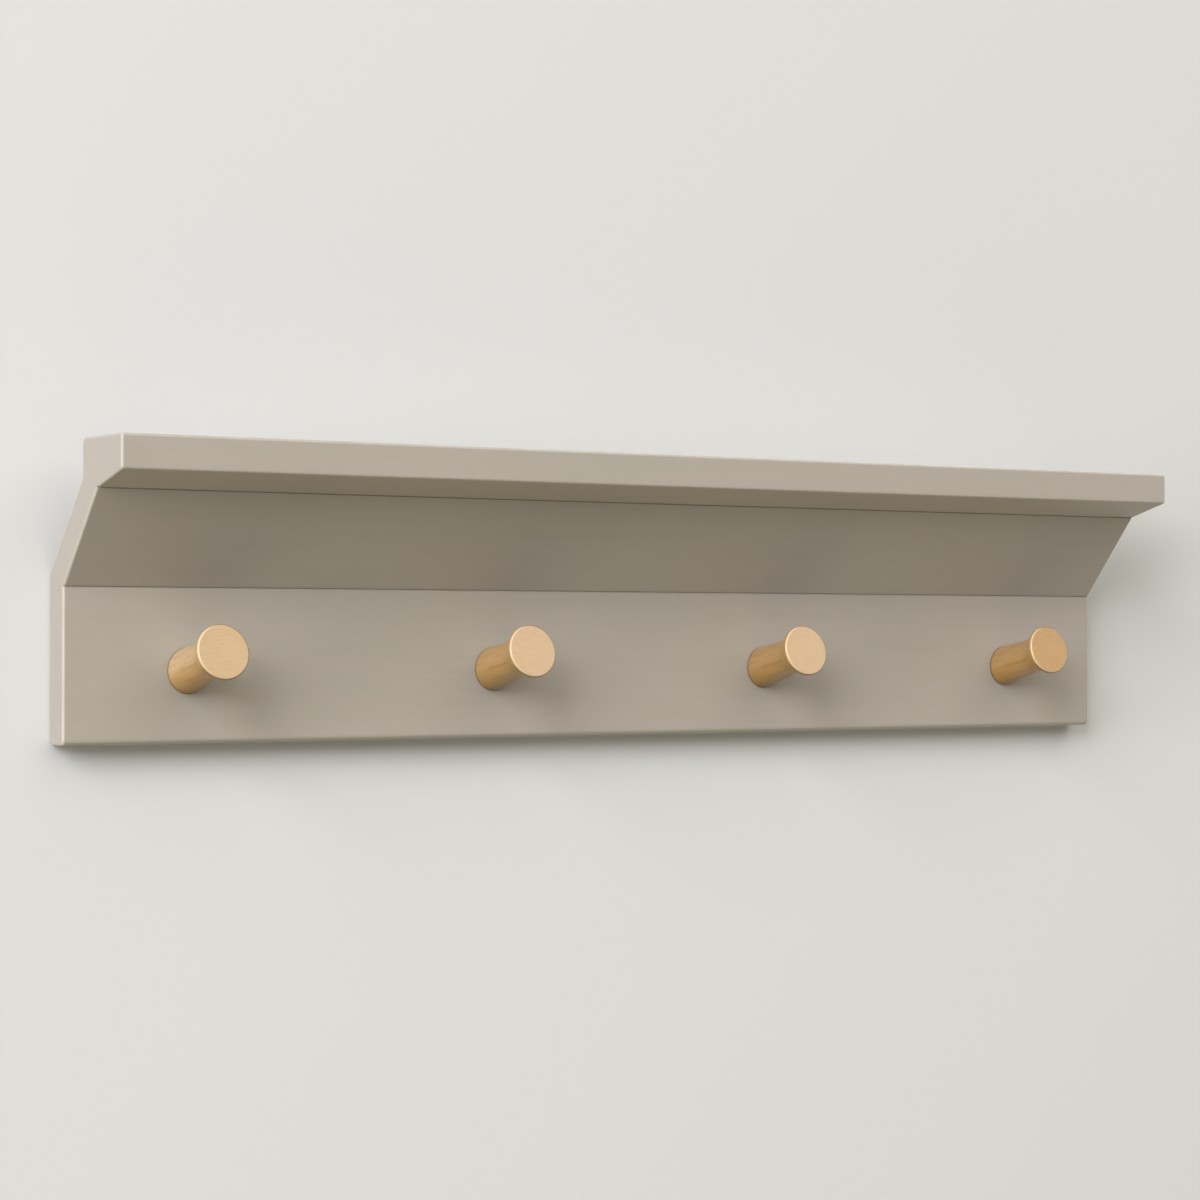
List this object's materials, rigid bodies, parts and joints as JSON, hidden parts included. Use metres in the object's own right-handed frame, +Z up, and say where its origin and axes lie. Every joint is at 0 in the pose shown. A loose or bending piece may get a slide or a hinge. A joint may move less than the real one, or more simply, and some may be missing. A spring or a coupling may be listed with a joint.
{
  "type": "wall coat rack",
  "caption": "Wall coat rack with a narrow shelf over a row of turned wooden pegs that lean up out of a backboard, hung on hidden keyhole plates.",
  "frame": {"origin": "middle of the backboard's flat back face, on the wall plane", "axes": "+X along the rack to the right as seen from the room, +Y into the wall, +Z up"},
  "size_m": [0.75, 0.093, 0.1668],
  "materials": {
    "painted_wood": "warm grey satin paint, brushed along the board",
    "peg_wood": "clear satin lacquer on light beech",
    "dowel_wood": "raw beech",
    "zinc_plated_steel": "bright zinc plate"
  },
  "bodies": {
    "root": {"backboard": "painted_wood", "sloping_board": "painted_wood", "shelf_board": "painted_wood", "peg_1": "peg_wood", "peg_2": "peg_wood", "peg_3": "peg_wood", "peg_4": "peg_wood", "peg_screws": "zinc_plated_steel", "lower_joint_dowels": "dowel_wood", "upper_joint_dowels": "dowel_wood", "keyhole_plate_left": "zinc_plated_steel", "keyhole_plate_right": "zinc_plated_steel", "plate_screws": "zinc_plated_steel"}
  },
  "joints": []
}
